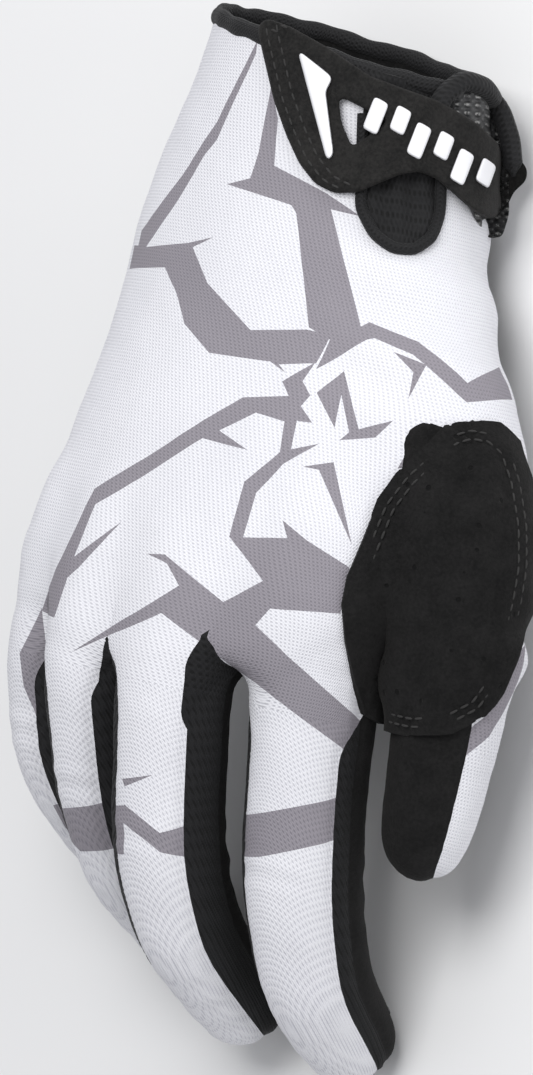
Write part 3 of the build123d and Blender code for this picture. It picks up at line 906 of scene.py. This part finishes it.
def build_panels(skin, panel, number):
    """Every panel as its own piece, cut again where a joint needs it."""
    middle = skin.centres()
    uv = layout(middle)[:, :2]
    front = cloth_front(skin)
    printed = np.zeros(len(middle), int)
    for band in PRINT:
        printed |= inside_outline(uv, band)
    printed &= front
    out = layout(middle)[:, 2]
    knit = inside_outline(uv, NOTCH) | inside_outline(uv, KNIT)
    knit &= front & (uv[:, 1] > 50)
    cover = inside_outline(uv, OVERLAY) & front & (out > 52)
    hand = middle[:, 1] > JOINT_Y
    pieces = {}

    def panel_piece(name, chosen, where, materials, **more):
        if not chosen.any():
            print("EMPTY", name)
            return None
        ink = printed[chosen] if len(materials) == 3 else None
        obj = sew(skin.piece(chosen), name, where, materials, face_material=ink, **more)
        pieces[name] = obj
        return obj

    fabric = [MATERIALS["white_knit"], MATERIALS["grey_knit"], MATERIALS["lining"]]
    gusset = [MATERIALS["gusset_knit"]]
    suede = [MATERIALS["suede"]]
    kinds = {BACK: ("back", fabric, "printed_fabric"),
             GUSSET: ("gussets", gusset, "black_stretch_fabric"),
             PALM: ("palm", suede, "black_suede")}
    for kind, (word, materials, slot) in kinds.items():
        chosen = hand & (panel == kind) & ~knit
        obj = panel_piece(f"hand_{word}_skin", chosen, "hand", materials)
        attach(obj, "hand")
        if kind != GUSSET:
            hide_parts(f"hand_{word}")
        for i, name in enumerate(FINGERS):
            mine = ~hand & (panel == kind) & (number == i)
            near = middle[:, 1] > KNUCKLE_END[name]
            obj = panel_piece(f"{name}_knuckle_{word}_skin", mine & near, name, materials)
            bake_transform(obj)
            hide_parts(f"{name}_base_{word}")
            obj = panel_piece(f"{name}_tip_{word}_skin", mine & ~near, name, materials)
            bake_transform(obj)
            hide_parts(f"{name}_tip_{word}")
        if kind == GUSSET:
            continue
        mine = ~hand & (panel == kind) & (number == 4)
        obj = panel_piece(f"thumb_{word}_skin", mine, "thumb", materials)
        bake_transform(obj)
        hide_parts(f"thumb_tip_{word}")

    knit_part = skin.piece(knit & hand)
    uv = layout(knit_part.rest)
    u, v = uv[:, 0], uv[:, 1]
    in_notch = smoothstep(54, 60, v) * smoothstep(84, 70, v)
    pleat = 0.5 + 0.5 * np.cos((u - 25.6 + 0.05 * (v - 54)) * 2 * np.pi / 5.2) * in_notch
    folds = (0.5 + 0.5 * np.sin((u * 0.55 - v * 0.35) * 0.62)) * smoothstep(80, 88, v)
    raise_points(knit_part, -0.7 + 1.0 * pleat + 1.9 * folds)
    obj = sew(knit_part, "notch_gusset_skin", "hand", [MATERIALS["stretch_knit"]])
    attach(obj, "hand")
    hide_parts("notch_gusset", "cuff_lining")

    cover_part = skin.piece(cover & hand)
    top, bottom = np.array(FOLD_LINE)
    across = np.array([bottom[1] - top[1], top[0] - bottom[0]]) / np.hypot(*(bottom - top))
    off = (layout(cover_part.rest)[:, :2] - top) @ across
    fold = 0.45 * np.exp(-((np.abs(off) - 5) / 3) ** 2) - 0.95 * np.exp(-(off / 1.7) ** 2)
    raise_points(cover_part, fold)
    obj = sew(cover_part, "thumb_overlay_skin", "hand", [MATERIALS["saddle_suede"]], thickness=1.3, lift=1.15)
    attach(obj, "hand")
    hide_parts("thumb_overlay")
    return pieces


# ---------------------------------------------------------------------------- draped pieces

def drop(uv, height, distance=None):
    """Points over (u, v) of the layout plane that lie this high over the hand, and normals.

    Beside the hand's outline they stand level with the outline, as a strap's stiff end does.
    """
    distance = distance or hand_distance
    height = np.broadcast_to(height, len(uv))
    levels = np.arange(0.0, 130.0, 1.5)
    near = [distance(from_layout(uv[:, 0], uv[:, 1], np.full(len(uv), level))) for level in levels]
    lowest = levels[np.argmin(near, axis=0)]
    out = np.full(len(uv), 130.0)
    for _ in range(60):
        out -= 0.8 * (distance(from_layout(uv[:, 0], uv[:, 1], out)) - height)
        out = np.maximum(out, lowest)
    points = from_layout(uv[:, 0], uv[:, 1], out)
    normals = gradient(distance, points)
    return points, normals / np.linalg.norm(normals, axis=1)[:, None]


def dense(outline, spacing, closed=True, rounded=True):
    """An outline with a point at least every spacing, in curves if rounded."""
    outline = np.asarray(outline, float)
    if closed:
        outline = np.vstack([outline, outline[:1]])
    points = []
    for a, b in zip(outline, outline[1:]):
        steps = max(1, int(math.ceil(np.hypot(*(b - a)) / spacing)))
        points += [a + (b - a) * i / steps for i in range(steps)]
    if not closed:
        points.append(outline[-1])
    points = np.array(points)
    for _ in range(3 if rounded else 0):
        if closed:
            points = (np.roll(points, 1, axis=0) + 2 * points + np.roll(points, -1, axis=0)) / 4
        else:
            points[1:-1] = (points[:-2] + 2 * points[1:-1] + points[2:]) / 4
    return points


def inset(points, by):
    """A closed dense outline moved inwards."""
    along = np.roll(points, -1, axis=0) - np.roll(points, 1, axis=0)
    along /= np.linalg.norm(along, axis=1)[:, None] + 1e-9
    area = np.sum(points[:, 0] * np.roll(points[:, 1], -1) - np.roll(points[:, 0], -1) * points[:, 1])
    inward = np.stack([-along[:, 1], along[:, 0]], axis=1) * np.sign(area)
    return points + inward * by


def plate(outline, holes, spacing, thickness, base, round_edge=0.4, rough=0.0):
    """A flat piece with rounded edges that lies base(u, v) high over the hand."""
    from mathutils.geometry import delaunay_2d_cdt
    loops = [dense(o, spacing * 0.8) for o in [outline, *holes]]
    rings = [inset(loop, (1 if i == 0 else -1) * by) for i, loop in enumerate(loops)
             for by in (0.35 * round_edge, round_edge)]
    low, high = loops[0].min(axis=0), loops[0].max(axis=0)
    grid = np.stack(np.meshgrid(np.arange(low[0], high[0], spacing),
                                np.arange(low[1], high[1], spacing)), axis=-1).reshape(-1, 2)
    grid[:, 0] += 0.25 * spacing * np.sin(grid[:, 1] * 9)

    def clear(points, by):
        good = np.ones(len(points), bool)
        for i, loop in enumerate(loops):
            d = np.min(np.hypot(points[:, None, 0] - loop[None, :, 0],
                                points[:, None, 1] - loop[None, :, 1]), axis=1)
            inside = inside_outline(points, [tuple(q) for q in loop])
            good &= (d > by) & (inside if i == 0 else ~inside)
        return good

    extra = [grid[clear(grid, round_edge + 0.35 * spacing)]]
    extra += [r[clear(r, 0.25 * round_edge)] for r in rings]
    verts = [tuple(q) for loop in loops for q in loop] + [tuple(q) for e in extra for q in e]
    edges, start = [], 0
    for loop in loops:
        edges += [(start + i, start + (i + 1) % len(loop)) for i in range(len(loop))]
        start += len(loop)
    flat, _, faces, _, _, _ = delaunay_2d_cdt([tuple(v) for v in verts], edges, [], 0, 1e-5)
    flat = np.array([tuple(v) for v in flat])
    faces = np.array([f for f in faces if len(f) == 3])
    centre = flat[faces].mean(axis=1)
    keep = inside_outline(centre, [tuple(q) for q in loops[0]])
    for loop in loops[1:]:
        keep &= ~inside_outline(centre, [tuple(q) for q in loop])
    faces = faces[keep]
    edge_distance = np.full(len(flat), np.inf)
    for loop in loops:
        d = np.min(np.hypot(flat[:, None, 0] - loop[None, :, 0], flat[:, None, 1] - loop[None, :, 1]), axis=1)
        edge_distance = np.minimum(edge_distance, d)
    t = np.clip(edge_distance / round_edge, 0, 1)
    profile = np.sqrt(1 - (1 - t) ** 2)
    height = base(flat[:, 0], flat[:, 1])
    top_height = height + thickness * (0.45 + 0.55 * profile)
    top_height += rough * np.sin(flat[:, 0] * 5.1 + np.sin(flat[:, 1] * 3.3)) * np.sin(flat[:, 1] * 4.7)
    top, _ = drop(flat, top_height)
    bottom, _ = drop(flat, height)
    used = rim(faces)
    n = len(flat)
    walls = np.stack([used[:, 1], used[:, 0], used[:, 0] + n, used[:, 1] + n], axis=1)
    all_faces = list(faces) + list(faces[:, ::-1] + n) + list(walls)
    corner = np.concatenate([faces.reshape(-1), faces[:, ::-1].reshape(-1),
                             np.stack([used[:, 1], used[:, 0], used[:, 0], used[:, 1]], axis=1).reshape(-1)])
    return np.vstack([top, bottom]), all_faces, flat[corner]


def plate_object(name, material, body, slot, nodes, *shape, **more):
    points, faces, uv = plate(*shape, **more)
    obj = new_object(name, points, faces, None, uv * MM, [material])
    mesh = obj.data
    mesh.set_sharp_from_angle(angle=math.radians(50))
    if body:
        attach(obj, body)
    if nodes:
        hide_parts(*nodes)
    return obj


def tube(name, path, radius, material, body, nodes=(), sides=12, closed=False, flat=1.0, normals=None):
    """A round cord of fabric along a path."""
    path = np.asarray(path, float)
    if closed:
        along = np.roll(path, -1, axis=0) - np.roll(path, 1, axis=0)
    else:
        along = np.gradient(path, axis=0)
    along /= np.linalg.norm(along, axis=1)[:, None]
    normal = np.tile(OUT, (len(path), 1)) if normals is None else normals
    side = np.cross(along, normal)
    side /= np.linalg.norm(side, axis=1)[:, None]
    normal = np.cross(side, along)
    radius = np.broadcast_to(radius, len(path))
    rings = []
    for k in range(sides):
        a = 2 * np.pi * k / sides
        rings.append(path + radius[:, None] * (np.cos(a) * side + np.sin(a) * flat * normal))
    points = np.stack(rings, axis=1).reshape(-1, 3)
    n = len(path)
    faces, uv = [], []
    length = np.concatenate([[0], np.cumsum(np.linalg.norm(np.diff(path, axis=0), axis=1))])
    for i in range(n if closed else n - 1):
        j = (i + 1) % n
        for k in range(sides):
            m = (k + 1) % sides
            faces.append((i * sides + k, i * sides + m, j * sides + m, j * sides + k))
            s0, s1 = length[i], length[i] + np.linalg.norm(path[j] - path[i])
            c = 2 * np.pi * radius[i] / sides
            uv += [(s0, k * c), (s0, (k + 1) * c), (s1, (k + 1) * c), (s1, k * c)]
    if not closed:
        faces.append(tuple(range(sides))[::-1])
        faces.append(tuple((n - 1) * sides + k for k in range(sides)))
        uv += [(0, 0)] * (2 * sides)
    obj = new_object(name, points, faces, None, np.array(uv) * MM, [material])
    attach(obj, body)
    if nodes:
        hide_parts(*nodes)
    return obj


def stitches(name, lines, material, body, pitch=2.4, length=1.7, radius=0.22):
    """Rows of sewn stitches. lines holds (points, normals) of each row."""
    sides, rings = 6, [(-0.5, 0.25), (-0.36, 0.85), (0, 1), (0.36, 0.85), (0.5, 0.25)]
    verts, faces = [], []
    for points, normals in lines:
        steps = np.linalg.norm(np.diff(points, axis=0), axis=1)
        place = np.concatenate([[0], np.cumsum(steps)])
        for s in np.arange(pitch / 2, place[-1], pitch):
            centre, ahead, normal = (np.array([np.interp(t, place, q[:, i]) for i in range(3)])
                                     for t, q in ((s, points), (s + 0.3, points), (s, normals)))
            along = ahead - centre
            if np.linalg.norm(along) < 1e-6:
                continue
            along /= np.linalg.norm(along)
            side = np.cross(along, normal)
            side /= np.linalg.norm(side)
            start = len(verts)
            for t, r in rings:
                sag = -0.5 * radius * (2 * abs(t)) ** 2
                for k in range(sides):
                    a = 2 * np.pi * k / sides
                    verts.append(centre + along * t * length + radius * r * (np.cos(a) * side)
                                 + normal * (radius * r * np.sin(a) * 0.8 + sag))
            for i in range(len(rings) - 1):
                for k in range(sides):
                    m = (k + 1) % sides
                    faces.append((start + i * sides + k, start + (i + 1) * sides + k,
                                  start + (i + 1) * sides + m, start + i * sides + m))
            faces.append(tuple(start + k for k in range(sides)))
            faces.append(tuple(start + (len(rings) - 1) * sides + k for k in range(sides))[::-1])
    obj = new_object(name, verts, faces, None, None, [material])
    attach(obj, body)
    return obj


# ---------------------------------------------------------------------------- closure and cuff

STRAP_THICKNESS = 1.9
MOULDING_BASE = 1.85    # the mouldings start just inside the strap's outer face


def strap_height(u, v):
    """The strap lies on the fabric at its sewn base, and over the notch and the tab further on."""
    return 0.35 + 1.5 * smoothstep(12, 22, u)


def build_strap():
    strap = plate_object("strap_skin", MATERIALS["strap_suede"], None, "strap_suede",
                         ("strap_base", "strap_free"), STRAP, [WINDOW], 0.75, STRAP_THICKNESS, strap_height,
                         round_edge=0.5, rough=0.03)
    hinge = next(j for j in frame["joints"] if j["name"] == "strap_fold")
    axis, pos = np.array(hinge["axis"]), np.array(hinge["pos_m"])
    over = np.cross(axis, OUT)
    over = over / np.linalg.norm(over)
    if over @ ACROSS < 0:
        over = -over
    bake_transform(strap)
    plate_object("strap_blade_moulding", MATERIALS["moulded_white"], "hand", "white_moulding",
                 ("strap_blade",), BLADE, [], 0.6, 1.25,
                 lambda u, v: strap_height(u, v) + MOULDING_BASE, round_edge=0.45)
    for i in range(BAR_COUNT):
        corner = BAR_START + i * BAR_STEP
        outline = [tuple(corner + np.array(q)) for q in BAR_SHAPES[i % 2]]
        plate_object(f"strap_bar_{i + 1}", MATERIALS["moulded_white"], "strap",
                                 "white_moulding", (), outline, [], 0.6, 1.2,
                                 lambda u, v: strap_height(u, v) + MOULDING_BASE, round_edge=0.4)
    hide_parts("strap_bars")
    plate_object("loop_tab", MATERIALS["loop_mesh"], "hand", "hook_and_loop", ("loop_patch",),
                 TAB, [], 0.8, 0.9, lambda u, v: 0.3 + 0 * u, round_edge=0.4, rough=0.05)
    plate_object("hook_pad", MATERIALS["loop_mesh"], "strap", "hook_and_loop", ("hook_patch",),
                 HOOK_PAD, [], 0.8, 0.5, lambda u, v: 1.3 + 0 * u, round_edge=0.3)


def landed_rows(flat, height, distance):
    """The stretches of a dropped row that really lie on the form, as (points, normals)."""
    points, normals = drop(flat, height, distance)
    good = np.abs(distance(points) - height) < 0.15
    stretches = np.split(np.arange(len(flat)), np.flatnonzero(np.diff(good.astype(int))) + 1)
    return [(points[i], normals[i]) for i in stretches if good[i[0]] and len(i) > 4]


def build_closure_details():
    seam = [STRAP[i] for i in (2, 3, 4, 5, 6, 7)]
    rows = []
    for by in (1.5, 3.4):
        flat = dense([(1.0, 95.5), *seam], 0.8, False) + np.array([by, 0.35 * by])
        rows.append(drop(flat, strap_height(flat[:, 0], flat[:, 1]) + 1.93))
    stitches("strap_stitches", rows, MATERIALS["thread"], "hand")
    rolls = dense(TAB_ROLL, 0.9, False)
    points, normals = drop(rolls, 1.1)
    place = np.arange(len(rolls))
    radius = 1.7 * smoothstep(0, 3, place) * smoothstep(0, 3, place[::-1]) + 0.3
    tube("cuff_roll", points, radius, MATERIALS["stretch_knit"], "hand",
         normals=normals)
    path = dense(NOTCH[1:-1], 0.8, False)
    points, normals = drop(path, 0.35)
    below = (points - MOUTH) @ MOUTH_NORMAL < -1.0
    points, normals = points[below], normals[below]
    tube("notch_piping_skin", points, 1.15, MATERIALS["binding"], "hand",
         ("notch_piping",), normals=normals)


def mouth_ring(count=180):
    """Points round the wrist's mouth and the outward normals there."""
    angle = np.linspace(0, 2 * np.pi, count, endpoint=False)
    points = np.tile(MOUTH, (count, 1))
    for _ in range(12):
        x0, z0, a, b = section(points[:, 1])
        points[:, 0] = x0 + a * np.cos(angle)
        points[:, 2] = z0 + b * np.sin(angle)
        flat = points - MOUTH
        rise = flat[:, 0] * MOUTH_NORMAL[0] + flat[:, 2] * MOUTH_NORMAL[2]
        points[:, 1] = MOUTH[1] - rise / MOUTH_NORMAL[1]
    normals = gradient(hand_distance, points)
    return points, normals / np.linalg.norm(normals, axis=1)[:, None]


def build_cuff():
    points, normals = mouth_ring()
    turn = np.linspace(0, 2 * np.pi, len(points), endpoint=False)
    waves = 0.35 * np.sin(turn * 11 + 1) + 0.25 * np.sin(turn * 7)
    centre = points - normals * 0.55 + np.outer(waves * 0.5, MOUTH_NORMAL)
    radius = 1.75 + 0.12 * np.sin(turn * 23)
    tube("cuff_binding_skin", centre, radius, MATERIALS["binding"], "hand",
         ("cuff_binding",), closed=True, flat=0.72, normals=normals, sides=16)


def build_thumb_details():
    rows = []
    for by in (1.7, 3.2):
        flat = inset(dense(OVERLAY, 0.8), by)
        flat = np.vstack([flat, flat[:1]])
        rows += landed_rows(flat, 1.2, front_distance)
    stitches("overlay_stitches", rows, MATERIALS["thread"], "hand", 2.3, 1.7, 0.24)


def front_distance(p):
    """Distance to the hand with its thumb, where the thumb saddle lies."""
    thumb = chain_distance(p, THUMB_CURVE[:, :3], THUMB_CURVE[:, 3])
    return smooth_min(hand_distance(p), thumb, THUMB_BLEND)


def build_grips():
    """Rubbery bars on the palm side of the first two fingertips."""
    for name in ("index", "middle"):
        x, curve = FINGER_CURVES[name]
        tip = curve[-1]
        before = curve[-4]
        along = np.array([0, tip[0] - before[0], tip[1] - before[1]])
        along /= np.linalg.norm(along)
        below = np.array([0, along[2], -along[1]])
        if below[1] < 0:
            below = -below
        verts, faces = [], []
        for step in (-6.5, -3.2, 0.1):
            centre = np.array([x, tip[0], tip[1]]) + along * step
            r = tip[2] + 0.5
            arc = np.radians(np.linspace(-32, 32, 13))
            start = len(verts)
            for a in arc:
                outward = np.cos(a) * below + np.sin(a) * np.array([1, 0, 0])
                for dr, ds in ((-0.6, -0.9), (0.2, -0.8), (0.45, -0.4), (0.45, 0.4), (0.2, 0.8), (-0.6, 0.9)):
                    end = 1 - 0.5 * (abs(a) == arc.max())
                    verts.append(centre + outward * (r + dr * end - 0.5) + along * ds * end)
            for i in range(len(arc) - 1):
                for k in range(5):
                    p = start + i * 6 + k
                    faces.append((p, p + 1, p + 7, p + 6))
            faces.append(tuple(start + k for k in range(6)))
            faces.append(tuple(start + (len(arc) - 1) * 6 + k for k in range(6))[::-1])
        obj = new_object(f"{name}_grip_bars", verts, faces, None, None, [MATERIALS["grip_print"]])
        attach(obj, f"{name}_tip")
        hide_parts(f"{name}_tip_grip")


# ---------------------------------------------------------------------------- stage

VIEW_CENTRE = (0.0, 0.0, 50.0)
VIEW_HEIGHT = 204.25        # millimetres seen from the top of the picture to its bottom
CAMERA_DISTANCE = 1150.0


def build_camera():
    data = bpy.data.cameras.new("camera")
    data.sensor_fit = "VERTICAL"
    data.sensor_height = 36
    data.lens = 36 * CAMERA_DISTANCE / VIEW_HEIGHT
    data.clip_end = 20
    camera = bpy.data.objects.new("camera", data)
    bpy.context.scene.collection.objects.link(camera)
    u, v, out = VIEW_CENTRE
    place = from_layout(u, v, out + CAMERA_DISTANCE) * MM
    turn = Matrix([[ACROSS[i], ALONG[i], OUT[i], place[i]] for i in range(3)] + [[0, 0, 0, 1]])
    camera.matrix_world = turn
    bpy.context.scene.camera = camera


def area_light(name, u, v, out, size, power, target=(0, 0, 45)):
    data = bpy.data.lights.new(name, "AREA")
    data.shape = "SQUARE"
    data.size = size * MM
    data.energy = power
    light = bpy.data.objects.new(name, data)
    bpy.context.scene.collection.objects.link(light)
    place = from_layout(u, v, out)
    away = place - from_layout(*target)
    away /= np.linalg.norm(away)
    side = np.cross((0, 1, 0.01), away)
    side /= np.linalg.norm(side)
    up = np.cross(away, side)
    light.matrix_world = Matrix([[side[i], up[i], away[i], place[i] * MM] for i in range(3)]
                                + [[0, 0, 0, 1]])


def build_stage():
    n = Nodes("studio_floor")
    grain = n.noise(n.place(), 12, 2)
    n.surface(n.mix(grain, (0.80, 0.80, 0.80, 1), (0.84, 0.84, 0.84, 1)), 0.9, 0.0, 0.1)
    half = 3.0
    mesh = bpy.data.meshes.new("floor")
    mesh.from_pydata([(-half, -half, 0), (half, -half, 0), (half, half, 0), (-half, half, 0)], [],
                     [(0, 1, 2, 3)])
    mesh.materials.append(n.material)
    floor = bpy.data.objects.new("floor", mesh)
    bpy.context.scene.collection.objects.link(floor)
    world = bpy.data.worlds.new("studio")
    world.use_nodes = True
    world.node_tree.nodes["Background"].inputs["Color"].default_value = (0.95, 0.96, 1, 1)
    world.node_tree.nodes["Background"].inputs["Strength"].default_value = 0.5
    bpy.context.scene.world = world
    area_light("key", -260, 330, 700, 420, 4.2)
    area_light("fill", 420, -160, 620, 520, 1.2)
    area_light("rim", 60, 520, 120, 260, 0.6)
    bpy.context.scene.view_settings.view_transform = "Standard"
    bpy.context.scene.view_settings.look = "None"


# ---------------------------------------------------------------------------- the whole glove

def main():
    skin, panel, number = build_skin()
    build_panels(skin, panel, number)
    build_strap()
    build_closure_details()
    build_cuff()
    build_thumb_details()
    build_grips()
    build_camera()
    build_stage()


main()
